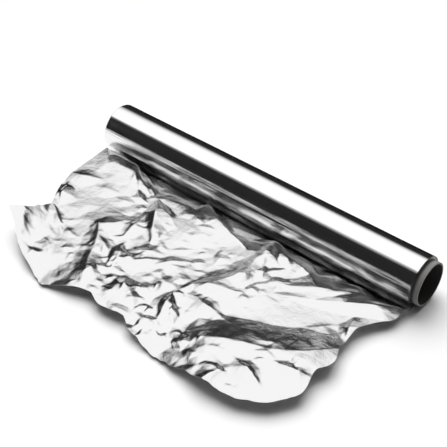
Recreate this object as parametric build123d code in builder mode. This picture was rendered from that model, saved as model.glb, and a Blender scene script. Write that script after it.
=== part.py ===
"""A roll of household aluminium foil on its card core, with a crumpled length pulled out in front.

Frame: +X runs along the roll towards the end where the core shows, +Y points to the back, +Z is up.
The origin is on the surface that the roll lies on, under its axis, half way along the foil.
"""

import math
import os

from build123d import *

# Driving dimensions, in millimetres
foil_width = 300.0
core_diameter = 35.0
core_wall = 1.2
core_overhang_right = 5.7
core_overhang_left = 1.0
winding_depth = 2.35
turn_step = 0.3
flat_spot_depth = 0.15
tail_length = 14.0
tail_thickness = 0.6
sheet_thickness = 0.4
sheet_reach = 168.0
sheet_lift = 6.0
middle_lift = 1.5
middle_lift_start = 20.0
middle_lift_run = 60.0
fold_run_in = 6.0
joint_overlap = 2.0

# Turns that show at the ends of the roll, and facets of the crumpled sheet. A corner of a facet moves
# by at most a share of the facet's smaller side to lie on a crest, and a facet narrower than another share
# of its width is avoided
turn_count = 5
facets_across = 58
facets_along = 32
corner_draw = 0.42
facet_least = 0.12

# Sizes that follow from those above
half_width = foil_width / 2
core_radius = core_diameter / 2
roll_radius = core_radius + winding_depth
axis_height = roll_radius - flat_spot_depth
roll_axis = Axis((0, 0, axis_height), (1, 0, 0))
sheet_start = tail_length - joint_overlap
sheet_rest = (tail_thickness - sheet_thickness) / 2
facet_width = foil_width / facets_across

# Outline of the sheet: stations out from the axis (0) to the front edge (1), and the share of the half
# width that the edge keeps there; and stations across (-1 to 1) with the share of the reach
left_edge = [
    (0, 1.0), (0.16, 1.0), (0.46, 0.99), (0.58, 0.965), (0.77, 0.87), (0.84, 0.885), (0.93, 0.9), (1, 0.97),
]
right_edge = [
    (0, 1.0), (0.23, 1.0), (0.3, 0.94), (0.39, 0.93), (0.51, 0.92), (0.63, 0.91), (0.68, 0.97),
    (0.74, 0.935), (0.82, 0.955), (0.94, 0.95), (1, 0.9),
]
front_edge = [
    (-1, 0.785), (-0.93, 0.81), (-0.85, 0.845), (-0.72, 0.91), (-0.59, 0.965), (-0.51, 0.995), (-0.42, 0.965),
    (-0.32, 0.93), (-0.26, 0.915), (-0.13, 0.95), (0.02, 0.92), (0.035, 0.957), (0.15, 0.98), (0.29, 0.995),
    (0.57, 1.0), (0.71, 0.995), (0.83, 0.97), (0.93, 0.935), (1, 0.89),
]

# Line where the sheet has come up from under the roll: stations across, in hundredths of the half
# width, and how far beyond the tail, in hundredths of the sheet's length there
lift_line = [
    (-100, 2.6), (-84, 4), (-75, 10), (-66, 19), (-60, 25), (-52, 21), (-48, 14), (-27, 12), (-24, 3.5),
    (-12, 10), (15, 19), (21, 4.5), (24, 4), (38, 10), (49, 12), (75, 4.5), (83, 11), (100, 6),
]

# Swellings and hollows of the sheet: the middle, in hundredths of the half width and of the reach, and
# the rise and the spread, in hundredths of the half width
swellings = [
    ((-97, 79), 8.7, 31),
    ((-25, 93), 2.7, 24),
    ((-51, 101), -4.8, 23),
    ((29, 102), -4.6, 24),
    ((95, 57), 1.3, 24),
    ((93, 32), 1.3, 23),
    ((75, 99), 1.3, 27),
]

# Main folds of the sheet: the points of the crest, as above, and in hundredths of the half width the
# rise and how far the foot of the fold lies to the left and to the right of the crest as drawn
folds = [
    # Deep fold of the right panel
    ([(27, 85), (36, 83), (45, 79), (59, 74), (78, 67), (86, 61), (92, 52), (93, 45)], 6.0, 21, 31),
    # Pleats of the right panel, towards the end of the roll
    ([(40, 36), (53, 30), (65, 23), (85, 11)], 1.9, 6, 6),
    ([(44, 40), (63, 33), (75, 27), (87, 20), (103, 11)], 2.9, 12, 9),
    # Left panel
    ([(-101, 37), (-92, 35), (-80, 30)], 1.2, 5, 9),
    ([(-25, 51), (-32, 43), (-39, 34), (-47, 24)], 2.7, 5, 8),
    ([(-45, 60), (-39, 55), (-41, 46), (-44, 37)], 1.2, 4, 6),
    ([(-84, 58), (-89, 51), (-95, 42)], 1.7, 3, 8),
    ([(-86, 60), (-77, 64), (-65, 72)], 1.1, 3, 5),
    # Crumple left of the middle
    ([(-29, 93), (-35, 84), (-41, 77), (-46, 68), (-51, 61), (-58, 55)], 1.9, 4, 7),
    ([(-31, 75), (-35, 65), (-36, 56)], 1.5, 3, 3),
    ([(-36, 60), (-29, 63), (-23, 65), (-17, 60), (-11, 55)], 1.1, 3, 6),
    # Long fold from the knot in front of the roll
    ([(8, 61), (17, 54), (23, 44), (25, 36), (23, 26), (21, 13)], 1.7, 7, 9),
    ([(8, 60), (17, 56), (28, 52), (35, 49)], 1.5, 6, 8),
    ([(21, 14), (28, 23), (37, 25)], 1.7, 5, 5),
    ([(29, 46), (27, 40), (25, 35)], 1.5, 3, 4),
    # Crumple of the middle and the front
    ([(15, 87), (10, 75), (7, 65)], 1.9, 4, 5),
    ([(-8, 84), (-13, 80), (-17, 75)], 2.4, 5, 5),
    ([(-10, 86), (-5, 84), (0, 79)], 1.5, 5, 5),
    ([(-13, 92), (-5, 92), (4, 90)], 1.7, 6, 4),
    ([(-13, 61), (-8, 54), (5, 44)], 1.0, 3, 6),
    ([(13, 63), (25, 66), (40, 67)], 1.1, 3, 6),
    ([(29, 90), (35, 90), (35, 85)], 1.2, 5, 4),
    # Right edge and front flap
    ([(92, 46), (87, 38), (84, 31)], 2.1, 4, 9),
    ([(76, 68), (85, 67), (95, 65)], 1.6, 11, 3),
    ([(54, 85), (68, 87), (81, 90)], 1.5, 4, 9),
    ([(48, 95), (55, 91), (63, 92)], 1.3, 4, 7),
]

# How steep the rise from the roll is at first, and how soon a fold runs out to its ends
lift_hollow = 0.45
fold_taper = 3.5


def along(stations, position):
    """The value at a position, read in a straight line between two stations."""
    for (p0, v0), (p1, v1) in zip(stations, stations[1:]):
        if position <= p1:
            return v0 + (v1 - v0) * (position - p0) / (p1 - p0)
    return stations[-1][1]


def smooth(share):
    """A soft step from 0 to 1."""
    share = min(max(share, 0.0), 1.0)
    return share * share * (3 - 2 * share)


def across(hundredths):
    """A length given in hundredths of the half width."""
    return hundredths / 100 * half_width


def on_sheet(place):
    """A place on the sheet given in hundredths of the half width and of the reach."""
    return across(place[0]), -place[1] / 100 * sheet_reach


def crest_spans(points):
    """Straight spans of a crest: start, direction, length and the length before it, and the total."""
    points = [on_sheet(point) for point in points]
    spans = []
    run = 0.0
    for a, b in zip(points, points[1:]):
        length = math.dist(a, b)
        spans.append((a, ((b[0] - a[0]) / length, (b[1] - a[1]) / length), length, run))
        run += length
    return spans, run


crests = [(crest_spans(points), *(across(size) for size in sizes)) for points, *sizes in folds]


def fold_height(crest, rise, left, right, x, y):
    """Height of one fold: a crest that falls straight to both sides and runs out to both ends."""
    spans, total = crest
    best = 0.0
    for (ax, ay), (tx, ty), length, run in spans:
        s = min(max((x - ax) * tx + (y - ay) * ty, 0.0), length)
        dx, dy = x - ax - s * tx, y - ay - s * ty
        spread = left if dy * tx - dx * ty > 0 else right
        share = (run + s) / total
        ends = min(1.0, fold_taper * min(share, 1 - share))
        best = max(best, ends - math.hypot(dx, dy) / spread)
    return rise * best


def sheet_height(x, y):
    """Height of the sheet over its rest: a hollow rise from the roll, a slow rise beyond it, the
    swellings, and the folds, which begin beyond the tail."""
    out = -y - tail_length
    run = along(lift_line, 100 * x / half_width) / 100 * (sheet_reach - tail_length)
    share = min(max(out / run, 0.0), 1.0)
    height = sheet_lift * share * (1 + lift_hollow * (1 - share))
    height += middle_lift * smooth((out - middle_lift_start) / middle_lift_run)
    for middle, rise, spread in swellings:
        away = math.dist(on_sheet(middle), (x, y)) / across(spread)
        height += across(rise) * max(0.0, 1 - away ** 2) ** 2
    height += sum(fold_height(*crest, x, y) for crest in crests) * smooth(out / fold_run_in)
    return max(height, 0.0)


def drawn_to_crest(x, y, nearest):
    """The place on a crest nearest to a corner, if one is near enough, or else the corner's own."""
    best = x, y
    for (spans, total), *_ in crests:
        for (ax, ay), (tx, ty), length, run in spans:
            s = (x - ax) * tx + (y - ay) * ty
            place = ax + s * tx, ay + s * ty
            if 0 < s < length and math.dist(place, (x, y)) < nearest:
                nearest, best = math.dist(place, (x, y)), place
    return best


def sheet_node(i, j):
    """Point of the sheet's underside at one corner of the facets. The first two rows lie in the tail,
    just inside its sides."""
    u, v = 2 * i / facets_across - 1, j / facets_along
    reach = along(front_edge, u) * sheet_reach
    facet_length = (reach - sheet_start) / facets_along
    out = sheet_start + v * (reach - sheet_start)
    x, y = u * along(left_edge if u < 0 else right_edge, out / reach) * half_width, -out
    if j < 2:
        return x * (1 - sheet_thickness / half_width), y, sheet_rest
    if 0 < i < facets_across and j < facets_along:
        x, y = drawn_to_crest(x, y, corner_draw * min(facet_width, facet_length))
    return x, y, sheet_rest + sheet_height(x, y)


def facet_span(a, b, c):
    """Width of a facet with its corners clockwise, seen from above: twice its area over its longest
    side. It is below 0 where the facet is turned over."""
    area = (c[0] - a[0]) * (b[1] - a[1]) - (b[0] - a[0]) * (c[1] - a[1])
    return area / max(math.dist(a, b), math.dist(b, c), math.dist(c, a))


def cut_error(cut):
    """How much too narrow a facet is in a cut of a cell in two, and then how far the cut lies from the
    true height, at the middle of the cut."""
    first, second = cut
    shortfall = max(0.0, facet_least * facet_width - min(facet_span(*first), facet_span(*second)))
    (ax, ay, az), (bx, by, bz) = (corner for corner in first if corner in second)
    return shortfall, abs((az + bz) / 2 - sheet_rest - sheet_height((ax + bx) / 2, (ay + by) / 2))


def facet(*corners):
    """One flat three-cornered face."""
    return Face(Wire.make_polygon([Vector(*corner) for corner in corners], close=True))


def raised(point):
    """The point of the sheet's top side above one of its underside."""
    return point[0], point[1], point[2] + sheet_thickness


def crumpled_sheet():
    """Closed solid of flat facets, each cell cut along the diagonal nearer to the true height."""
    grid = [[sheet_node(i, j) for j in range(facets_along + 1)] for i in range(facets_across + 1)]
    faces = []
    for i in range(facets_across):
        for j in range(facets_along):
            a, b, c, d = grid[i][j], grid[i + 1][j], grid[i + 1][j + 1], grid[i][j + 1]
            for triangle in min([((a, b, c), (a, c, d)), ((a, b, d), (b, c, d))], key=cut_error):
                faces.append(facet(*triangle))
                faces.append(facet(*(raised(point) for point in triangle)))
    border = [grid[i][0] for i in range(facets_across)]
    border += [grid[facets_across][j] for j in range(facets_along)]
    border += [grid[i][facets_along] for i in range(facets_across, 0, -1)]
    border += [grid[0][j] for j in range(facets_along, 0, -1)]
    for a, b in zip(border, border[1:] + border[:1]):
        faces.append(facet(a, b, raised(b)))
        faces.append(facet(a, raised(b), raised(a)))
    return Solid(Shell(faces))


# Card core: a plain tube, cut square
with BuildPart() as core_tube:
    with BuildSketch(Plane.YZ.offset(-half_width - core_overhang_left)):
        with Locations((0, axis_height)):
            Circle(core_radius)
            Circle(core_radius - core_wall, mode=Mode.SUBTRACT)
    extrude(amount=foil_width + core_overhang_left + core_overhang_right)

# Wound foil: turns whose edges stand a little in and out of line at both ends
turn_depth = winding_depth / turn_count
right_profile = []
left_profile = []
for turn in range(turn_count):
    inner = axis_height + core_radius + turn * turn_depth
    outer = inner + turn_depth
    set_back = turn_step * ((turn_count - 1 - turn) % 2)
    right_profile += [(half_width - set_back, inner), (half_width - set_back, outer)]
    left_profile += [(set_back - half_width, inner), (set_back - half_width, outer)]

with BuildPart() as foil_web:
    with BuildSketch(Plane.XZ):
        with BuildLine():
            Polyline(*right_profile, *reversed(left_profile), close=True)
        make_face()
    revolve(axis=roll_axis)
    # The weight of the roll presses a small flat on its underside
    split(bisect_by=Plane.XY, keep=Keep.TOP)
    # The last turn leaves the flat and runs out under the roll
    with BuildSketch(Plane.YZ.offset(-half_width)):
        Rectangle(tail_length, tail_thickness, align=(Align.MAX, Align.MIN))
    extrude(amount=foil_width)
    add(crumpled_sheet(), clean=False)

os.makedirs("parts", exist_ok=True)
core_tube.part.label = "core_tube"
export_step(core_tube.part, "parts/core_tube.step")
foil_web.part.label = "foil_web"
export_step(foil_web.part, "parts/foil_web.step")
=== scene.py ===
"""Looks of the aluminium foil roll: bright wound foil, a crumpled satin sheet and a grey card core.

Shapes are worked out in millimetres in the frame's own axes and put into the meshes in metres.
"""

import math

import bpy
import numpy as np
from mathutils import Matrix, Vector
from mathutils.geometry import delaunay_2d_cdt


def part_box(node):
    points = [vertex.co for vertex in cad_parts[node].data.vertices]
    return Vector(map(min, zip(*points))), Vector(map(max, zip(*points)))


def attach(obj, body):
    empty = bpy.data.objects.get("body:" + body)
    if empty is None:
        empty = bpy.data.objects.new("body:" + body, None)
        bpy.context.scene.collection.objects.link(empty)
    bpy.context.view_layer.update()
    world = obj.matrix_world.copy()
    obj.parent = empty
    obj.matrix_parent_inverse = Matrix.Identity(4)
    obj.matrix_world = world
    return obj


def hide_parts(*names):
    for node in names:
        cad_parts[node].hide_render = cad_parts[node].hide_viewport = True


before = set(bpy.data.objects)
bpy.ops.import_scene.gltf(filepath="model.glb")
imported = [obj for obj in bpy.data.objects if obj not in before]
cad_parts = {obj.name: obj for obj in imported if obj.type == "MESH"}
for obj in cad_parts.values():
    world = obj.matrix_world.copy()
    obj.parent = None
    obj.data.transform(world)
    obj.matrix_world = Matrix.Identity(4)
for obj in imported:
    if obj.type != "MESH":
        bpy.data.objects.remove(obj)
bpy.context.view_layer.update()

MM = 0.001

# Sizes read from the frame, in millimetres
foil_low, foil_high = (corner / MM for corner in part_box("foil_web"))
core_low, core_high = (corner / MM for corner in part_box("core_tube"))
half_width = foil_high.x
sheet_reach = -foil_low.y
core_radius = (core_high.y - core_low.y) / 2
axis_height = (core_high.z + core_low.z) / 2
roll_radius = foil_high.z - axis_height

# Sizes of the sheet, in millimetres: the flat tail under the roll and the thickness of the foil
tail_length = 14.0
foil_gauge = 0.06
# Rise of the sheet up to its lift line and how much steeper it starts, then the height of its middle,
# how far beyond the tail the further rise to it starts, and the run of that rise
sheet_lift, lift_hollow = 6.0, 0.45
middle_lift, middle_lift_start, middle_lift_run = 7.5, 20.0, 60.0

# Outline of the sheet: stations from the tail (0) to the front edge (1) with the share of the half
# width kept there, and stations across (-1 to 1) with the share of the reach
left_edge = [
    (0, 1.0), (0.16, 1.0), (0.46, 0.99), (0.58, 0.965), (0.77, 0.87), (0.84, 0.885), (0.93, 0.9),
    (1, 0.97),
]
right_edge = [
    (0, 1.0), (0.25, 1.0), (0.33, 0.94), (0.42, 0.9), (0.52, 0.907), (0.58, 0.91), (0.67, 0.95),
    (0.73, 0.94), (0.78, 0.91), (0.88, 0.94), (0.94, 0.945), (1, 0.905),
]
front_edge = [
    (-1, 0.785), (-0.93, 0.82), (-0.85, 0.868), (-0.78, 0.905), (-0.72, 0.928), (-0.59, 0.97),
    (-0.51, 0.995), (-0.42, 0.965), (-0.32, 0.93), (-0.26, 0.915), (-0.13, 0.95), (0.02, 0.92),
    (0.035, 0.957), (0.15, 0.98), (0.29, 0.995), (0.57, 1.0), (0.71, 1.0), (0.79, 0.99), (0.85, 0.97),
    (0.93, 0.93), (0.97, 0.9), (1, 0.85),
]
# How far to both sides of a place the outline is averaged, so that its bends are round
edge_run = 0.022

# Small notches of the torn front edge and the crinkled left-hand edge: depth, spacing, and the power
# that they fade with towards the middle of the sheet. The left-hand ones grow from a place over a run
notch_depth, notch_spacing, notch_fade = 1.5, 3.6, 14
left_notch_start, left_notch_run = sheet_reach / 3, 20.0

# Line across the sheet where it has come up from under the roll
lift_line = [
    (-150, -18), (-126, -18), (-112, -20), (-105, -30), (-99, -43), (-90, -53), (-78, -47), (-72, -36),
    (-60, -34), (-40, -32), (-36, -19), (-18, -29), (2, -37), (22, -43), (31, -21), (36, -20),
    (57, -29), (74, -33), (92, -28), (112, -21), (124, -31), (135, -27), (150, -23),
]

# Soft swellings of the sheet: place, rise and spread
swellings = [
    ((-146, -139), 9.0, 42),
    ((-158, -112), 6.5, 42),
    ((-38, -156), 2.0, 36),
    ((-76, -170), -5.6, 34),
    ((44, -171), -6.9, 36),
    ((140, -54), 2.0, 34),
    ((112, -166), 2.0, 40),
]
# Slow waves of the sheet: direction in degrees, length, start and height. They grow from the tail over
# a run
waves = [(20, 62, 0.1, 0.35), (75, 47, 0.4, 0.35), (118, 71, 0.7, 0.4), (160, 38, 0.2, 0.25)]
wave_run = 30.0

# Folds of the sheet: the points of the crest, its rise, how far away the foot of the fold lies to the
# left and to the right of the crest as drawn, and, for a long streak, the run that it runs out over
creases = [
    # Dark fold of the right panel
    (
        [
            (38, -144), (57, -138), (72, -131), (85, -125), (99, -120), (112, -113), (123, -105),
            (132, -93), (146, -70),
        ],
        6.4, 28, 60, 36,
    ),
    # Pleats where the sheet leaves the roll
    ([(-116, -19), (-96, -32), (-74, -44)], 1.1, 5, 5),
    ([(-104, -18), (-88, -30), (-70, -43)], 1.1, 5, 5),
    ([(-112, -24), (-100, -36), (-88, -46)], 1.0, 5, 5),
    ([(-36, -17), (-18, -29), (2, -37), (14, -41)], 2.2, 4, 22),
    ([(-152, -19), (-126, -19), (-108, -23)], 3.4, 4, 56),
    # Left panel
    ([(-92, -43), (-81, -50), (-72, -49)], 1.5, 4, 6),
    ([(-99, -61), (-90, -60), (-81, -56)], 1.2, 4.5, 9),
    ([(-122, -62), (-98, -55)], 0.7, 7, 12),
    ([(-152, -62), (-138, -59), (-120, -51)], 1.4, 8, 14),
    ([(-37, -86), (-48, -72), (-59, -57), (-70, -41)], 4.0, 8, 12),
    ([(-72, -42), (-48, -52), (-32, -61)], 1.5, 4.5, 14),
    ([(-67, -100), (-59, -92), (-62, -78), (-66, -62)], 1.8, 5.5, 9),
    ([(-94, -95), (-84, -94), (-76, -88), (-72, -78)], 1.3, 8, 9),
    ([(-126, -97), (-134, -86), (-142, -70)], 2.6, 5, 12),
    ([(-129, -100), (-116, -108), (-98, -121)], 1.6, 4.5, 8),
    ([(-106, -111), (-96, -115), (-86, -117)], 0.9, 4, 8),
    ([(-139, -103), (-131, -108), (-124, -114)], 0.9, 3.5, 5),
    # Left corner
    ([(-144, -128), (-128, -132), (-113, -133)], 0.9, 4, 5),
    ([(-140, -131), (-134, -133), (-122, -137), (-109, -141)], 1.7, 4, 7),
    ([(-112, -148), (-98, -148), (-86, -147)], 1.4, 4, 7),
    ([(-124, -143), (-113, -149), (-102, -155)], 1.2, 4, 6),
    ([(-132, -137), (-123, -141), (-112, -144)], 1.2, 3, 6),
    ([(-104, -157), (-94, -160), (-84, -166)], 1.2, 4, 6),
    ([(-98, -154), (-88, -154), (-78, -157)], 1.0, 3, 6),
    ([(-140, -123), (-135, -124), (-126, -123)], 0.6, 4, 4),
    ([(-84, -160), (-74, -158), (-62, -155)], 0.6, 4, 6),
    ([(-76, -152), (-68, -152), (-61, -144)], 0.6, 8, 6),
    ([(-88, -133), (-78, -126)], 0.8, 5, 5),
    ([(-146, -118), (-134, -126), (-122, -138)], 0.9, 4, 5),
    ([(-118, -118), (-108, -124), (-98, -126)], 0.8, 4, 8),
    ([(-112, -132), (-100, -134), (-88, -143)], 0.9, 4, 7),
    # Crumple left of the middle
    ([(-44, -156), (-52, -141), (-61, -129), (-69, -114), (-76, -103), (-87, -92)], 2.8, 9, 12.5),
    ([(-76, -108), (-64, -109), (-51, -116)], 2.0, 7, 10.5),
    ([(-46, -126), (-52, -109), (-54, -94)], 3.0, 7, 6),
    ([(-41, -128), (-45, -114), (-52, -100)], 3.0, 7, 6),
    ([(-52, -129), (-40, -127)], 1.9, 5.5, 6),
    ([(-54, -101), (-44, -106), (-34, -109), (-26, -101), (-16, -92)], 2.2, 7, 10.5),
    ([(-46, -99), (-34, -94), (-20, -88)], 1.6, 7.5, 10.5),
    ([(-38, -86), (-42, -70)], 1.8, 4, 4.5),
    ([(-47, -122), (-38, -106)], 1.4, 5, 5),
    # Middle panel
    ([(-36, -50), (-20, -52), (-8, -51), (7, -56)], 0.6, 4, 12),
    ([(-26, -47), (-10, -41)], 0.6, 4, 8),
    ([(-36, -78), (-22, -86)], 0.6, 3, 5),
    ([(-22, -82), (-8, -68)], 0.7, 3.5, 6),
    ([(-20, -103), (-12, -90), (-2, -80)], 1.5, 5, 9),
    ([(-1, -82), (8, -74)], 1.5, 5, 7),
    ([(12, -103), (26, -90), (35, -74), (37, -60), (35, -44), (32, -22)], 2.6, 10, 14),
    ([(12, -100), (26, -94), (42, -88), (52, -82)], 2.2, 9, 12),
    # Knot in front of the roll
    ([(32, -23), (42, -38), (55, -42)], 2.2, 9, 8),
    ([(43, -52), (38, -42), (33, -31)], 1.6, 5, 6),
    ([(38, -22), (52, -31), (62, -45)], 1.4, 5, 7),
    ([(52, -65), (48, -56), (44, -48)], 1.8, 5, 6),
    ([(48, -50), (54, -47), (56, -40)], 1.2, 6.5, 6),
    ([(54, -62), (60, -57), (70, -50)], 1.5, 5, 8),
    ([(43, -78), (40, -68), (37, -58)], 2.1, 6.5, 7),
    ([(48, -79), (58, -73)], 1.5, 5, 7),
    ([(50, -86), (62, -87)], 1.2, 5, 7),
    # Crumple of the middle and the front
    ([(20, -106), (38, -111), (60, -112)], 1.9, 7, 10.5),
    ([(12, -110), (24, -117)], 1.5, 5.5, 6),
    ([(23, -146), (15, -126), (10, -110)], 3.9, 9, 8),
    ([(16, -123), (32, -132)], 1.6, 5.5, 6),
    ([(33, -140), (19, -126)], 2.7, 6, 6),
    ([(1, -125), (-4, -113)], 2.2, 4.5, 4.5),
    ([(-17, -129), (-6, -125), (4, -128)], 1.5, 5.5, 7),
    ([(-12, -141), (-19, -134), (-26, -126)], 4.9, 11, 9),
    ([(-31, -126), (-36, -138)], 1.6, 5.5, 6),
    ([(-33, -144), (-15, -145)], 1.6, 5.5, 7),
    ([(-15, -144), (-8, -141), (0, -132)], 2.7, 12, 8),
    ([(-19, -154), (-8, -155), (6, -151)], 2.7, 12, 7),
    ([(7, -143), (12, -135)], 1.9, 5.5, 4.5),
    ([(2, -148), (16, -148), (30, -150)], 1.8, 5.5, 6),
    ([(35, -144), (44, -142)], 1.1, 5.5, 6),
    ([(42, -152), (54, -146)], 2.2, 8, 7),
    ([(36, -162), (34, -146)], 1.2, 5.5, 4.5),
    ([(42, -161), (58, -161)], 1.1, 5.5, 7),
    # Right panel
    ([(56, -62), (80, -50), (97, -39), (116, -27)], 2.6, 19, 12, 38),
    ([(66, -68), (94, -56), (113, -45), (130, -34), (154, -18), (190, 5)], 3.1, 22, 14, 75),
    ([(104, -84), (112, -76), (122, -64)], 0.6, 3.5, 8),
    ([(138, -78), (131, -64), (126, -52)], 3.2, 6, 14),
    ([(86, -119), (97, -113), (110, -106)], 0.8, 26, 2.5),
    ([(94, -127), (103, -122), (112, -124)], 0.9, 3.5, 5),
    ([(99, -134), (107, -126)], 0.9, 3.5, 4),
    # Front flap
    ([(114, -115), (128, -113), (143, -110)], 2.4, 16, 8),
    ([(110, -126), (128, -124), (145, -118)], 3.0, 8, 10),
    ([(84, -139), (101, -142), (112, -146), (123, -151)], 2.7, 6, 14),
    ([(72, -159), (82, -154), (96, -155)], 2.3, 6, 10),
    ([(80, -181), (85, -164), (92, -147)], 3.2, 7, 12, 15),
    ([(96, -161), (110, -160)], 1.1, 4, 6),
    ([(66, -143), (84, -138)], 1.1, 4, 6),
    ([(54, -154), (68, -152)], 1.1, 4, 6),
]

# The dark flank of a fold that isn't broad runs out softly: how much further its foot lies for it, and
# the power
broad_flank = 16.0
foot_run, foot_softness = 1.3, 1.5
# A fold runs out to its ends over a share of its length, or over a run if that is less, and keeps a
# share of its rise at the very end. All folds grow from the tail over a run
end_share, end_run, end_rise = 0.45, 18.0, 0.05
fold_run = 6.0

# Small wrinkles all over the sheet: their number, the shares of the sheet that they lie in, the mean
# and the spread of their direction in radians, their length, rise and run, and the least rise kept
wrinkle_count = 120
wrinkles_across, wrinkles_along = (-0.95, 0.95), (0.24, 0.97)
wrinkle_turn, wrinkle_turn_spread = 0.6, 0.6
wrinkle_length, wrinkle_rise, wrinkle_run = (5.0, 24.0), (0.15, 0.5), 2.2
least_wrinkle = 0.12

# Places without unevenness, and crumpled patches, where the facets are small and steep: the middle, the
# spread and, for a patch, the strength
calm_places = [
    ((62, -120), 22), ((84, -108), 26), ((106, -98), 28), ((126, -86), 24), ((0, -28), 26),
    ((94, -72), 30), ((-114, -62), 44), ((-58, -36), 24),
]
patches = [
    ((10, -128), 46, 1.0), ((-50, -120), 44, 1.0), ((-22, -146), 36, 1.0), ((48, -50), 34, 0.9),
    ((-72, -144), 34, 0.8), ((42, -94), 36, 0.7), ((-128, -130), 40, 0.3), ((-82, -46), 30, 0.7),
    ((104, -124), 16, 0.6), ((-10, -84), 60, 0.5), ((10, -150), 30, 1.3), ((50, -155), 26, 1.1),
    ((-20, -158), 28, 1.2), ((106, -148), 30, 0.3),
]
# Facets: spacing in a plain place and in a patch, and the unevenness as a share of the spacing
plain_facet, patch_facet = 11.0, 6.0
plain_unevenness, patch_unevenness = 0.04, 0.15
# Corners of the facets: the room kept for them, the random places tried and the share of the reach that
# those start at, the corners along a side and along the front of the outline, and where the middle
# corners of a dark flank lie
most_corners, tried_places, tried_from = 9000, 6000, 0.1
side_corners, front_corners = 18, 61
flank_middle = 0.45
# How near two corners may be: along a crest, on the outline, of two crests, of a fold's left foot, dark
# flank and right foot, and of random places as a share of the spacing
near_along, near_outline, near_crest, near_feet, near_random = 1.0, 1.0, 1.6, (2.0, 1.6, 3.0), 0.6
# Slack for corners that fall together, and for places on the border of a facet
corner_slack, facet_slack = 1e-4, 1e-6

# Wound foil: how far it keeps inside its solid, the deepest step of a turn's edge, and the slow and
# quick dents, each a height and two lengths
roll_inset, turn_step = 0.05, 0.35
slow_dent, quick_dent = (0.03, 17, 41), (0.02, 6.3, 23)

# Cells of the meshes, and the turns that show at an end of the roll
sheet_cells_across, sheet_cells_along = 306, 158
roll_cells_along, roll_cells_round = 150, 240
end_turns = 22


def read_stations(stations, position, run=0):
    """The value at a position: straight lines between the stations, averaged over a run to both
    sides."""
    places, values = np.array(stations).T
    shifts = [step * run for step in (-1, -0.5, 0, 0.5, 1)]
    return np.mean([np.interp(position + shift, places, values) for shift in shifts], axis=0)


def smooth(share):
    """A soft step: three times the square less twice the cube of a share held between 0 and 1."""
    share = np.clip(share, 0, 1)
    return share * share * (3 - 2 * share)


def place_on_sheet(u, v):
    """A place inside the outline: u times the edge there times half the width across, and v times
    the reach there along."""
    left, right, front = (
        read_stations(edge, place, edge_run)
        for edge, place in ((left_edge, v), (right_edge, v), (front_edge, u))
    )
    return u * np.where(u < 0, left, right) * half_width, -v * front * sheet_reach


def notches(position, seed):
    """Depth of an edge's notches: straight lines between squared random shares of the full depth."""
    stops = np.arange(-half_width - sheet_reach, half_width + notch_spacing, notch_spacing)
    shares = np.random.default_rng(seed).uniform(0, 1, stops.size)
    return notch_depth * np.interp(position, stops, shares ** 2)


def base_height(x, y):
    """Height without the facets: a rise from the tail to the lift line, steeper at first, a slow rise
    beyond it, swellings that fall off as the square of one less the squared share of their spread, and
    slow waves."""
    out = -y - tail_length
    share = np.clip(out / (-read_stations(lift_line, x) - tail_length), 0, 1)
    height = sheet_lift * share * (1 + lift_hollow * (1 - share))
    height += (middle_lift - sheet_lift) * smooth((out - middle_lift_start) / middle_lift_run)
    for (middle_x, middle_y), rise, spread in swellings:
        height += rise * np.maximum(0, 1 - (np.hypot(x - middle_x, y - middle_y) / spread) ** 2) ** 2
    for turn, length, start, rise in waves:
        across = x * math.cos(math.radians(turn)) + y * math.sin(math.radians(turn))
        wave = rise * np.sin(2 * math.pi * (across / length + start))
        height += wave * smooth(out / wave_run) * unrest(x, y)
    return height


def unrest(x, y):
    """How uneven a place may be: one, or less near a calm place, where it is the square of the distance
    from its middle as a share of its spread."""
    least = np.ones_like(x)
    for (middle_x, middle_y), spread in calm_places:
        least = np.minimum(least, (np.hypot(x - middle_x, y - middle_y) / spread) ** 2)
    return least


def patch_strength(x, y):
    """How crumpled a place is: the largest of the patches' strengths there, which fall off as one less
    the squared share of the spread."""
    strength = np.zeros_like(x)
    for (middle_x, middle_y), spread, most in patches:
        away = np.hypot(x - middle_x, y - middle_y) / spread
        strength = np.maximum(strength, most * np.maximum(0, 1 - away ** 2))
    return strength


def measured_crest(points):
    """Points of a crest, the lengths between them, and how far along the crest each point lies."""
    points = np.array(points, float)
    spans = np.linalg.norm(np.diff(points, axis=0), axis=1)
    return points, spans, np.concatenate([[0], np.cumsum(spans)])


def fold_height(x, y, points, rise, left, right, ends=None):
    """A roof-shaped fold: full rise on the crest, falling with the distance from it, straight over a
    run to the right, over another to the left, there ever more gently unless the flank is broad, and
    running out to both ends."""
    points, spans, starts = measured_crest(points)
    run, power = dark_flank(left)
    best = np.zeros_like(x)
    for a, b, span, start in zip(points, points[1:], spans, starts):
        tx, ty = (b - a) / span
        s = np.clip((x - a[0]) * tx + (y - a[1]) * ty, 0, span)
        dx, dy = x - a[0] - s * tx, y - a[1] - s * ty
        on_left = dy * tx - dx * ty > 0
        away = np.hypot(dx, dy) / np.where(on_left, run, right)
        fall = np.maximum(0, fold_share(start + s, starts[-1], ends) - away)
        best = np.maximum(best, np.where(on_left, fall ** power, fall))
    return rise * best


def dark_flank(left):
    """Run of a fold's dark flank out to its soft foot, and the power that it falls with."""
    return (left, 1) if left >= broad_flank else (left * foot_run, foot_softness)


def fold_share(place, length, ends):
    """Share of the full rise at a place along a crest: it runs out to both ends, over the fold's own
    run or else over a share of the length or a set run, whichever is less."""
    run = ends or min(end_share * length, end_run)
    return np.minimum(1, np.minimum(place, length - place) / run + end_rise)


def folded_height(x, y):
    """Height with the sum of the folds, which fade out towards the tail."""
    folds = np.zeros_like(x)
    for crease in creases + wrinkles():
        folds += fold_height(x, y, *crease)
    return base_height(x, y) + folds * smooth((-y - tail_length) / fold_run)


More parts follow.
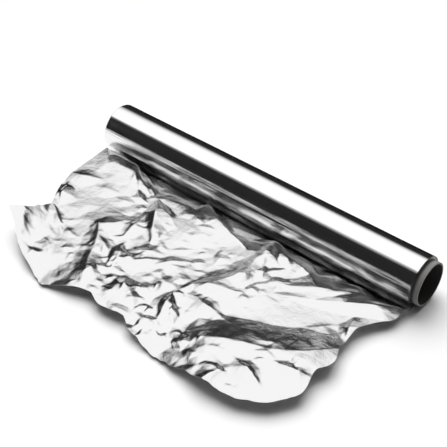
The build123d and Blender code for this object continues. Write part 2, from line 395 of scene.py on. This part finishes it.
def fold_lines(points, rise, left, right, ends=None):
    """Lines of one fold: the crest in steps of a facet at most, then the left foot, the middle of the
    left flank and the right foot, square to the crest and as far from it as the rise there lets them
    run."""
    points, _, starts = measured_crest(points)
    stops = np.union1d(starts, np.linspace(0, starts[-1], 2 + int(starts[-1] / patch_facet)))
    stops = stops[np.concatenate([[True], np.diff(stops) > near_along])]
    crest = np.column_stack([np.interp(stops, starts, points[:, i]) for i in (0, 1)])
    ahead = np.gradient(crest, axis=0)
    square = np.column_stack([-ahead[:, 1], ahead[:, 0]]) / np.linalg.norm(ahead, axis=1)[:, None]
    share = fold_share(stops, starts[-1], ends)[:, None]
    reach = dark_flank(left)[0] * share * square
    return crest, crest + reach, crest + flank_middle * reach, crest - right * share * square


def wrinkles():
    """Small folds at random places, most of them from the left front to the right back, with lengths
    and rises drawn evenly from their ranges and directions from a bell curve."""
    draw = np.random.default_rng(3)
    across = draw.uniform(*wrinkles_across, wrinkle_count)
    along = draw.uniform(*wrinkles_along, wrinkle_count)
    x, y = place_on_sheet(across, along)
    turn = draw.normal(wrinkle_turn, wrinkle_turn_spread, wrinkle_count)
    half = draw.uniform(*wrinkle_length, wrinkle_count) / 2
    rise = draw.uniform(*wrinkle_rise, wrinkle_count) * unrest(x, y)
    step = np.stack([half * np.cos(turn), half * np.sin(turn)], -1)
    middle = np.stack([x, y], -1)
    return [
        ([a, b], most, wrinkle_run, 2 * wrinkle_run)
        for a, b, most in zip(middle - step, middle + step, rise) if most > least_wrinkle
    ]


def facet_corners():
    """Places of the facets' corners, the edges that must be kept, and an unevenness for each corner.
    The corners are the outline, the tail, the lift line, the folds, and between them random places a
    facet apart, uneven by a random share of it. A line joins an earlier corner that is near enough."""
    draw = np.random.default_rng(11)
    places = np.full((most_corners, 2), np.inf)
    uneven = np.zeros(most_corners)
    count = 0
    edges = []

    def corner_at(place, near):
        """Number of the nearest corner, if it is near enough, or else of a new one at the place."""
        nonlocal count
        away = np.hypot(places[:count + 1, 0] - place[0], places[:count + 1, 1] - place[1])
        if away.min() < near:
            return int(away.argmin())
        places[count] = place
        count += 1
        return count - 1

    def line(points, near):
        """Corners at the points of a line, with its edges."""
        chain = [corner_at(point, near) for point in points]
        edges.extend((a, b) for a, b in zip(chain, chain[1:]) if a != b)

    steps = np.linspace(0, 1, side_corners)
    across = np.linspace(-1, 1, front_corners)
    for u, v in ((0 * steps - 1, steps), (0 * steps + 1, steps), (across, 0 * across + 1)):
        line(np.column_stack(place_on_sheet(u, v)), near_outline)
    for tail_y in (-tail_length, 0):
        line(np.column_stack([across * half_width, 0 * across + tail_y]), near_outline)
    line(lift_line, near_outline)
    lines = [fold_lines(*crease) for crease in creases + wrinkles()]
    for crest, *_ in lines:
        line(crest, near_crest)
    for _, *feet in lines:
        for foot, near in zip(feet, near_feet):
            for place in foot:
                corner_at(place, near)
    x, y = place_on_sheet(draw.uniform(-1, 1, tried_places), draw.uniform(tried_from, 1, tried_places))
    strength = patch_strength(x, y)
    gap = plain_facet + (patch_facet - plain_facet) * np.sqrt(strength)
    lump = gap * (plain_unevenness + (patch_unevenness - plain_unevenness) * strength) * unrest(x, y)
    lump *= draw.normal(0, 1, tried_places)
    for place, room, rise in zip(np.column_stack([x, y]), gap, lump):
        before = count
        corner_at(place, near_random * room)
        if count > before:
            uneven[before] = rise
    return places[:count], edges, uneven[:count]


def sheet_height(x, y):
    """Height of the sheet: flat three-cornered facets between neighbouring corners, which lie on the
    folds. In each facet it is the mean of the three corners' heights, weighed by the areas opposite."""
    places, edges, uneven = facet_corners()
    corners = [Vector(place) for place in places]
    places, _, facets, origins, _, _ = delaunay_2d_cdt(corners, edges, [], 0, corner_slack)
    px, py = np.array(places).T
    pz = folded_height(px, py) + np.array([uneven[origin[0]] if origin else 0 for origin in origins])
    order = np.argsort(x, axis=None)
    x_sorted, y_sorted = x.ravel()[order], y.ravel()[order]
    z_sorted = base_height(x_sorted, y_sorted)
    for a, b, c in facets:
        bx, by, cx, cy = px[b] - px[a], py[b] - py[a], px[c] - px[a], py[c] - py[a]
        area = bx * cy - cx * by
        if area < facet_slack:
            continue
        first, last = np.searchsorted(x_sorted, (min(px[[a, b, c]]), max(px[[a, b, c]])))
        dx, dy = x_sorted[first:last] - px[a], y_sorted[first:last] - py[a]
        wb, wc = (dx * cy - cx * dy) / area, (bx * dy - dx * by) / area
        inside = (wb >= -facet_slack) & (wc >= -facet_slack) & (wb + wc <= 1 + facet_slack)
        z_sorted[first:last][inside] = (pz[a] + wb * (pz[b] - pz[a]) + wc * (pz[c] - pz[a]))[inside]
    height = np.empty(x.size)
    height[order] = z_sorted
    height = height.reshape(x.shape)
    return np.where(y > -tail_length, 0, np.maximum(height, 0))


def grid_faces(rows, columns):
    """Corner numbers of every cell of a grid of points, row by row."""
    corner = np.arange(rows * columns).reshape(rows, columns)
    around = [corner[:-1, :-1], corner[1:, :-1], corner[1:, 1:], corner[:-1, 1:]]
    return np.stack(around, -1).reshape(-1, 4)


def mesh_piece(name, points, faces, material, sharp=()):
    """An object made of points in millimetres and four-cornered faces, smooth shaded but for the sharp
    edges, which are given as pairs of points."""
    mesh = bpy.data.meshes.new(name)
    mesh.vertices.add(len(points))
    mesh.vertices.foreach_set("co", (np.asarray(points) * MM).ravel())
    mesh.loops.add(faces.size)
    mesh.loops.foreach_set("vertex_index", faces.ravel())
    mesh.polygons.add(len(faces))
    mesh.polygons.foreach_set("loop_start", np.arange(0, faces.size, 4))
    mesh.polygons.foreach_set("use_smooth", np.ones(len(faces), bool))
    mesh.update(calc_edges=True)
    if len(sharp):
        ends = np.zeros(2 * len(mesh.edges), int)
        mesh.edges.foreach_get("vertices", ends)
        numbered = (len(points), 1)
        is_sharp = np.isin(np.sort(ends.reshape(-1, 2)) @ numbered, np.sort(sharp) @ numbered)
        mesh.edges.foreach_set("use_edge_sharp", is_sharp)
    mesh.validate()
    mesh.materials.append(material)
    piece = bpy.data.objects.new(name, mesh)
    bpy.context.scene.collection.objects.link(piece)
    return piece


def foil_sheet(material):
    """The pulled-out foil. Across (u) and along (v) give a place inside the sheet's outline: u times
    the edge there times half the width, and v times the reach there, less the notches of the front
    and left-hand edges. The height of its underside is sheet_height, and a top one gauge above that
    and a rim close it."""
    across = np.linspace(-1, 1, sheet_cells_across + 1)
    along = np.linspace(0, 1, sheet_cells_along + 1)
    u, v = np.meshgrid(across, along, indexing="ij")
    x, y = place_on_sheet(u, v)
    left_notch = notches(y, seed=7) * np.maximum(0, -u) ** notch_fade
    left_notch *= smooth((-y - left_notch_start) / left_notch_run)
    x, y = x + left_notch, y + notches(x, seed=8) * v ** notch_fade
    z = sheet_height(x, y)
    under = np.stack([x, y, z], -1).reshape(-1, 3)
    top = under + (0, 0, foil_gauge)
    rows, columns = u.shape
    faces = grid_faces(rows, columns)
    count = rows * columns
    corner = np.arange(count).reshape(rows, columns)
    border = np.concatenate([corner[:-1, 0], corner[-1, :-1], corner[:0:-1, -1], corner[0, :0:-1]])
    following = np.roll(border, -1)
    rim = np.stack([border + count, following + count, following, border], -1)
    all_faces = np.concatenate([faces, faces[:, ::-1] + count, rim])
    edges = np.stack([border, following], -1)
    points, sharp = np.concatenate([under, top]), np.concatenate([edges, edges + count])
    return mesh_piece("foil_sheet", points, all_faces, material, sharp)


def wound_foil(material):
    """The wound foil: a closed profile of length and radius carried round the axis. The outside has
    shallow dents, a product of two slow sines plus a quick one that sways, both ends show the edges
    of the turns as small steps, and the underside is pressed flat where the roll lies on its own
    sheet."""
    draw = np.random.default_rng(5)
    outside = np.linspace(-half_width, half_width, roll_cells_along + 1)
    turns = np.linspace(roll_radius, core_radius, end_turns + 1)
    steps = draw.uniform(0, turn_step, end_turns)
    right_radius = np.repeat(turns, 2)[1:-1]
    right_length = half_width - np.repeat(steps, 2)
    left_length = -half_width + np.repeat(steps[::-1], 2)
    length = np.concatenate([outside, right_length, left_length])
    radius = np.concatenate([np.full(outside.size, roll_radius), right_radius, right_radius[::-1]])
    angle = np.linspace(0, 2 * math.pi, roll_cells_round, endpoint=False)
    s, a = np.meshgrid(length, angle, indexing="ij")
    slow_height, slow_length, beat_length = slow_dent
    quick_height, quick_length, sway_length = quick_dent
    dent = slow_height * np.sin(s / slow_length + 2 * a) * np.sin(s / beat_length + 1)
    dent += quick_height * np.sin(s / quick_length - a + 2 * np.sin(s / sway_length))
    dent[outside.size:] = 0
    r = radius[:, None] + (dent - roll_inset)
    z = np.maximum(axis_height + r * np.sin(a), 2 * foil_gauge)
    points = np.stack([s, r * np.cos(a), z], -1).reshape(-1, 3)
    rows, columns = s.shape
    corner = np.arange(rows * columns).reshape(rows, columns)
    next_row, next_column = np.roll(corner, -1, 0), np.roll(corner, -1, 1)
    both = np.roll(next_row, -1, 1)
    faces = np.stack([corner, next_column, both, next_row], -1).reshape(-1, 4)
    rings = np.concatenate([[0], np.arange(outside.size - 1, rows)])
    sharp = np.stack([corner[rings].ravel(), next_column[rings].ravel()], -1)
    return mesh_piece("wound_foil", points, faces, material, sharp)


def linear(hex_colour):
    """Linear RGBA from an sRGB hex colour."""
    parts = [int(hex_colour[i:i + 2], 16) / 255 for i in (1, 3, 5)]
    return (*(p / 12.92 if p <= 0.04045 else ((p + 0.055) / 1.055) ** 2.4 for p in parts), 1.0)


def add_node(tree, kind, sockets=None, links=None, **settings):
    """A node with its settings, its fixed socket values and the outputs linked to its sockets."""
    made = tree.nodes.new(kind)
    for key, value in settings.items():
        setattr(made, key, value)
    for key, value in (sockets or {}).items():
        made.inputs[key].default_value = value
    for key, source in (links or {}).items():
        tree.links.new(source, made.inputs[key])
    return made


def new_material(name):
    """An empty node material and its tree."""
    material = bpy.data.materials.new(name)
    material.use_nodes = True
    material.node_tree.nodes.clear()
    return material, material.node_tree


def bright_rolled_foil():
    """Aluminium foil, the side that ran against the polished roller: a mirror with faint lines along
    the web, so that bands of light stay sharp and only their edges fray. Towards the underside it is
    drawn into fine streaks along the roll, which break up what it mirrors. The ends of the roll are
    painted darker, as painted shade between the edges of the turns. The lines are drawn coarser than
    real ones, which are too fine to show."""
    line_width, line_length = 0.8 * MM, 60 * MM
    streak_width, streak_length = 1.2 * MM, 110 * MM
    material, tree = new_material("bright_rolled_aluminium")
    place = add_node(tree, "ShaderNodeTexCoord")
    stretch = add_node(
        tree, "ShaderNodeMapping", {"Scale": (1 / line_width, 1 / line_length, 1 / line_length)},
        {"Vector": place.outputs["Object"]},
    )
    lines = add_node(
        tree, "ShaderNodeTexNoise", {"Scale": 1.0, "Detail": 3.0, "Roughness": 0.6},
        {"Vector": stretch.outputs["Vector"]},
    )
    face = add_node(tree, "ShaderNodeNewGeometry")
    upwards = add_node(
        tree, "ShaderNodeVectorMath", {1: (0, 0, 1)}, {0: face.outputs["True Normal"]},
        operation="DOT_PRODUCT",
    )
    low = add_node(
        tree, "ShaderNodeMapRange", {"From Min": 0.52, "From Max": 0.3},
        {"Value": upwards.outputs["Value"]},
    )
    draw_out = add_node(
        tree, "ShaderNodeMapping", {"Scale": (1 / streak_length, 1 / streak_width, 1 / streak_width)},
        {"Vector": place.outputs["Object"]},
    )
    streaks = add_node(
        tree, "ShaderNodeTexNoise", {"Scale": 1.0, "Detail": 2.0},
        {"Vector": draw_out.outputs["Vector"]},
    )
    streaked = add_node(
        tree, "ShaderNodeBump", {"Distance": 0.3 * MM},
        {"Height": streaks.outputs["Fac"], "Strength": low.outputs["Result"]},
    )
    bump = add_node(
        tree, "ShaderNodeBump", {"Strength": 0.15, "Distance": 0.02 * MM},
        {"Height": lines.outputs["Fac"], "Normal": streaked.outputs["Normal"]},
    )
    rough = add_node(
        tree, "ShaderNodeMapRange", {"To Min": 0.07, "To Max": 0.15}, {"Value": lines.outputs["Fac"]},
    )
    duller = add_node(
        tree, "ShaderNodeMath", {1: 0.03}, {0: low.outputs["Result"], 2: rough.outputs["Result"]},
        operation="MULTIPLY_ADD",
    )
    endways = add_node(
        tree, "ShaderNodeVectorMath", {1: (1, 0, 0)}, {0: face.outputs["True Normal"]},
        operation="DOT_PRODUCT",
    )
    end = add_node(tree, "ShaderNodeMath", None, {0: endways.outputs["Value"]}, operation="ABSOLUTE")
    # Painted shade on the roll's end faces: a darker metal colour (#5E5E5E) stands for the shade
    # between the edges of the turns
    tone_with_painted_shade = add_node(
        tree, "ShaderNodeMix", {"A": linear("#F2F2F2"), "B": linear("#5E5E5E")},
        {"Factor": end.outputs["Value"]}, data_type="RGBA",
    )
    metal = add_node(
        tree, "ShaderNodeBsdfPrincipled", {"Metallic": 1.0},
        {
            "Base Color": tone_with_painted_shade.outputs["Result"], "Normal": bump.outputs["Normal"],
            "Roughness": duller.outputs["Value"],
        },
    )
    add_node(tree, "ShaderNodeOutputMaterial", links={"Surface": metal.outputs["BSDF"]})
    return material


def satin_rolled_foil():
    """Aluminium foil, the side that ran against another foil in the rolling mill: satin, with fine
    short lines along the web and a fine crinkle, so that it gleams unevenly and its creases turn
    dark. A slight bloom from its duller grain keeps the creases from going black. The lines are drawn
    coarser than real ones, which are too fine to show."""
    line_width, line_length, crinkle_width = 0.9 * MM, 14 * MM, 7 * MM
    satin, bloom_share = linear("#E8E8E8"), 0.018
    material, tree = new_material("satin_rolled_aluminium")
    place = add_node(tree, "ShaderNodeTexCoord")
    stretch = add_node(
        tree, "ShaderNodeMapping", {"Scale": (1 / line_width, 1 / line_length, 1 / line_length)},
        {"Vector": place.outputs["Object"]},
    )
    lines = add_node(
        tree, "ShaderNodeTexNoise", {"Scale": 1.0, "Detail": 4.0, "Roughness": 0.6},
        {"Vector": stretch.outputs["Vector"]},
    )
    crinkle = add_node(
        tree, "ShaderNodeTexNoise",
        {"Scale": 1 / crinkle_width, "Detail": 5.0, "Roughness": 0.6, "Distortion": 0.4},
        {"Vector": place.outputs["Object"]},
    )
    crinkled = add_node(
        tree, "ShaderNodeBump", {"Strength": 1.0, "Distance": 0.3 * MM},
        {"Height": crinkle.outputs["Fac"]},
    )
    bump = add_node(
        tree, "ShaderNodeBump", {"Strength": 0.2, "Distance": 0.03 * MM},
        {"Height": lines.outputs["Fac"], "Normal": crinkled.outputs["Normal"]},
    )
    rough = add_node(
        tree, "ShaderNodeMapRange", {"To Min": 0.09, "To Max": 0.15}, {"Value": lines.outputs["Fac"]},
    )
    gleam = add_node(
        tree, "ShaderNodeBsdfPrincipled", {"Base Color": satin, "Metallic": 1.0},
        {"Normal": bump.outputs["Normal"], "Roughness": rough.outputs["Result"]},
    )
    bloom = add_node(
        tree, "ShaderNodeBsdfPrincipled", {"Base Color": satin, "Metallic": 1.0, "Roughness": 0.6},
        {"Normal": bump.outputs["Normal"]},
    )
    both = add_node(
        tree, "ShaderNodeMixShader", {0: bloom_share},
        {1: gleam.outputs["BSDF"], 2: bloom.outputs["BSDF"]},
    )
    add_node(tree, "ShaderNodeOutputMaterial", links={"Surface": both.outputs["Shader"]})
    return material


def grey_card():
    """Recycled grey card: dull and mottled with fibres, with a ring of painted shade where it goes into
    the winding, and painted shade inside the tube that makes it nearly black, so that its mouth reads
    as a dark hole."""
    fibre_length = 1.5 * MM
    # Painted shade on the card next to the winding: full up to the first reach along the axis, gone
    # from the second
    painted_shade_until, painted_shade_gone_from = (half_width + 1.2) * MM, (half_width + 3.2) * MM
    material, tree = new_material("grey_wound_card")
    place = add_node(tree, "ShaderNodeTexCoord")
    fibres = add_node(
        tree, "ShaderNodeTexNoise", {"Scale": 1 / fibre_length, "Detail": 4.0},
        {"Vector": place.outputs["Object"]},
    )
    outer = add_node(
        tree, "ShaderNodeMix", {"A": linear("#7A7977"), "B": linear("#8C8A88")},
        {"Factor": fibres.outputs["Fac"]}, data_type="RGBA",
    )
    along = add_node(tree, "ShaderNodeSeparateXYZ", None, {0: place.outputs["Object"]})
    reach = add_node(tree, "ShaderNodeMath", None, {0: along.outputs["X"]}, operation="ABSOLUTE")
    clear = add_node(
        tree, "ShaderNodeMapRange", {"From Min": painted_shade_until, "From Max": painted_shade_gone_from},
        {"Value": reach.outputs["Value"]},
    )
    face = add_node(tree, "ShaderNodeNewGeometry")
    endways = add_node(
        tree, "ShaderNodeVectorMath", {1: (1, 0, 0)}, {0: face.outputs["Normal"]},
        operation="DOT_PRODUCT",
    )
    end = add_node(tree, "ShaderNodeMath", None, {0: endways.outputs["Value"]}, operation="ABSOLUTE")
    free_of_painted_shade = add_node(
        tree, "ShaderNodeMath", None, {0: clear.outputs["Result"], 1: end.outputs["Value"]},
        operation="MAXIMUM",
    )
    # Ring of painted shade (#2E2D2C) next to the winding, kept off the tube's end faces
    ring_with_painted_shade = add_node(
        tree, "ShaderNodeMix", {"A": linear("#2E2D2C")},
        {"Factor": free_of_painted_shade.outputs["Value"], "B": outer.outputs["Result"]}, data_type="RGBA",
    )
    from_axis = add_node(
        tree, "ShaderNodeVectorMath", {1: (0, 0, axis_height * MM)}, {0: place.outputs["Object"]},
        operation="SUBTRACT",
    )
    outwards = add_node(
        tree, "ShaderNodeVectorMath", None, {0: from_axis.outputs["Vector"], 1: face.outputs["Normal"]},
        operation="DOT_PRODUCT",
    )
    outside = add_node(
        tree, "ShaderNodeMath", {1: 0.0}, {0: outwards.outputs["Value"]}, operation="GREATER_THAN",
    )
    # Painted shade inside the tube: the inner wall is coloured nearly black (#242322) to stand for the
    # shade in its mouth
    tone_with_painted_shade = add_node(
        tree, "ShaderNodeMix", {"A": linear("#242322")},
        {"Factor": outside.outputs["Value"], "B": ring_with_painted_shade.outputs["Result"]}, data_type="RGBA",
    )
    bump = add_node(
        tree, "ShaderNodeBump", {"Strength": 0.3, "Distance": 0.1 * MM},
        {"Height": fibres.outputs["Fac"]},
    )
    card = add_node(
        tree, "ShaderNodeBsdfPrincipled", {"Roughness": 0.85},
        {"Base Color": tone_with_painted_shade.outputs["Result"], "Normal": bump.outputs["Normal"]},
    )
    add_node(tree, "ShaderNodeOutputMaterial", links={"Surface": card.outputs["BSDF"]})
    return material


# Ceiling light: the direction of its middle, the angles where it starts to fade and is gone, and its
# strength
light_centre = Vector((-0.25, 0.27, 0.93)).normalized()
light_edge_inner, light_edge_outer = math.radians(22), math.radians(47)
light_most = 1.12
# White panel at the left front, likewise, and the strength of the panel, the wall and the dark room
panel_centre = (-0.86, -0.4, 0.32)
panel_edge_inner, panel_edge_outer = math.radians(9), math.radians(21)
panel_most, wall_most, room_least = 0.9, 0.9, 0.02
# Directions square to the straight front edge of the light: into the light, and forwards
into_light, forwards = (0, 0.939, 0.344), (0, -0.766, 0.643)


def studio_world():
    """A white ceiling light in a dark room, and a white backdrop for the camera. Only the metal sees
    the straight front edge of the light, a white wall to the right and a white panel at the left
    front."""
    world = bpy.data.worlds.new("studio")
    bpy.context.scene.world = world
    world.use_nodes = True
    tree = world.node_tree
    tree.nodes.clear()
    place = add_node(tree, "ShaderNodeTexCoord")
    path = add_node(tree, "ShaderNodeLightPath")

    def share_along(direction, dark, light, most):
        """Soft step, from nothing up to a strength or another share, between two values of the part of
        the ray's direction that runs along this one."""
        along = add_node(
            tree, "ShaderNodeVectorMath", {1: direction}, {0: place.outputs["Generated"]},
            operation="DOT_PRODUCT",
        )
        sockets, links = {"From Min": dark, "From Max": light}, {"Value": along.outputs["Value"]}
        top = links if isinstance(most, bpy.types.NodeSocket) else sockets
        top["To Max"] = most
        step = add_node(tree, "ShaderNodeMapRange", sockets, links, interpolation_type="SMOOTHSTEP")
        return step.outputs["Result"]

    up = (0, 0, 1)
    ceiling = share_along(
        light_centre, math.cos(light_edge_outer), math.cos(light_edge_inner), light_most,
    )
    panel = share_along(
        panel_centre, math.cos(panel_edge_outer), math.cos(panel_edge_inner), panel_most,
    )
    wall = share_along((1, 0, 0), dark=0.15, light=0.45, most=wall_most)
    wall = share_along(up, dark=0.65, light=0.5, most=wall)
    strip = share_along(up, dark=0.55, light=0.7, most=light_most)
    strip = share_along(forwards, dark=0.2, light=0.45, most=strip)
    strip = share_along(into_light, dark=-0.05, light=0.04, most=strip)
    sides = add_node(tree, "ShaderNodeMath", None, {0: wall, 1: panel}, operation="ADD")
    shiny = add_node(
        tree, "ShaderNodeMath", None, {0: sides.outputs["Value"], 1: strip}, operation="ADD",
    )
    for_metal = add_node(
        tree, "ShaderNodeMath", None, {0: shiny.outputs["Value"], 1: path.outputs["Is Glossy Ray"]},
        operation="MULTIPLY",
    )
    brighter = add_node(
        tree, "ShaderNodeMath", None, {0: ceiling, 1: for_metal.outputs["Value"]}, operation="MAXIMUM",
    )
    room = add_node(
        tree, "ShaderNodeMath", {1: room_least}, {0: brighter.outputs["Value"]}, operation="ADD",
    )
    light = add_node(
        tree, "ShaderNodeBackground", {"Color": linear("#FFFFFF")}, {"Strength": room.outputs["Value"]},
    )
    white = add_node(tree, "ShaderNodeBackground", {"Color": linear("#FFFFFF"), "Strength": 1.0})
    seen = add_node(
        tree, "ShaderNodeMixShader", None,
        {
            0: path.outputs["Is Camera Ray"], 1: light.outputs["Background"],
            2: white.outputs["Background"],
        },
    )
    add_node(tree, "ShaderNodeOutputWorld", links={"Surface": seen.outputs["Shader"]})


def plain_plane(name, corners, material):
    """A flat four-cornered piece, in millimetres."""
    return mesh_piece(name, np.array(corners, float), np.array([[0, 1, 2, 3]]), material)


def matt_paint(name, hex_colour):
    """Paint or card without any gleam, in one colour."""
    material, tree = new_material(name)
    paint = add_node(tree, "ShaderNodeBsdfDiffuse", {"Color": linear(hex_colour)})
    add_node(tree, "ShaderNodeOutputMaterial", links={"Surface": paint.outputs["BSDF"]})
    return material


# Reach of the floor and corners of the dark card, in millimetres
floor_reach = 9000
dark_card_corners = [(-180, 2, 0.5), (150, 2, 0.5), (-2200, 8000, 0.5), (-7000, 8000, 0.5)]
# Overhead lamp: direction, strength and how soft its shadow is
lamp_direction = Vector((-0.36, 0.39, 0.85))
lamp_strength, lamp_softness = 2.7, math.radians(60)


def studio():
    """Pale floor, a long dark card behind the roll that only the metal sees, and a soft lamp above."""
    far = floor_reach
    floor_corners = [(-far, -far, 0), (far, -far, 0), (far, far, 0), (-far, far, 0)]
    floor = plain_plane("floor", floor_corners, matt_paint("pale_floor", "#F7F7F7"))

    card = plain_plane("dark_card", dark_card_corners, matt_paint("black_card", "#191919"))
    for kind in ("camera", "diffuse", "shadow", "transmission", "volume_scatter"):
        setattr(card, f"visible_{kind}", False)

    sun = bpy.data.lights.new("overhead", "SUN")
    sun.energy = lamp_strength
    sun.angle = lamp_softness
    lamp = bpy.data.objects.new("overhead", sun)
    lamp.rotation_euler = lamp_direction.to_track_quat("Z", "Y").to_euler()
    lamp.visible_glossy = False
    bpy.context.scene.collection.objects.link(lamp)


# Camera: its place in millimetres, its directions to the right and ahead, and its focal length and
# picture width in pixels
camera_place = Vector((408.3, -534.8, 561.4))
camera_right, camera_ahead = Vector((0.7687, 0.6397, 0.0)), Vector((-0.4884, 0.5869, -0.6459))
focal_pixels, picture_pixels = 1100, 447


def camera():
    """The camera, at the place and with the lens that the picture's outlines give."""
    lens = bpy.data.cameras.new("camera")
    lens.sensor_width = 36.0
    lens.lens = lens.sensor_width * focal_pixels / picture_pixels
    lens.clip_start = 10 * MM
    seen_by = bpy.data.objects.new("camera", lens)
    camera_up = camera_right.cross(camera_ahead).normalized()
    axes = Matrix((camera_right, camera_up, -camera_ahead)).transposed()
    seen_by.matrix_world = Matrix.Translation(camera_place * MM) @ axes.to_4x4()
    bpy.context.scene.collection.objects.link(seen_by)
    bpy.context.scene.camera = seen_by


bpy.context.scene.view_settings.view_transform = "Standard"
studio_world()
studio()
camera()

wound = wound_foil(bright_rolled_foil())
sheet = foil_sheet(satin_rolled_foil())
for piece in (wound, sheet):
    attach(piece, "root")
    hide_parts("foil_web")

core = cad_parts["core_tube"]
core.data.materials.clear()
core.data.materials.append(grey_card())
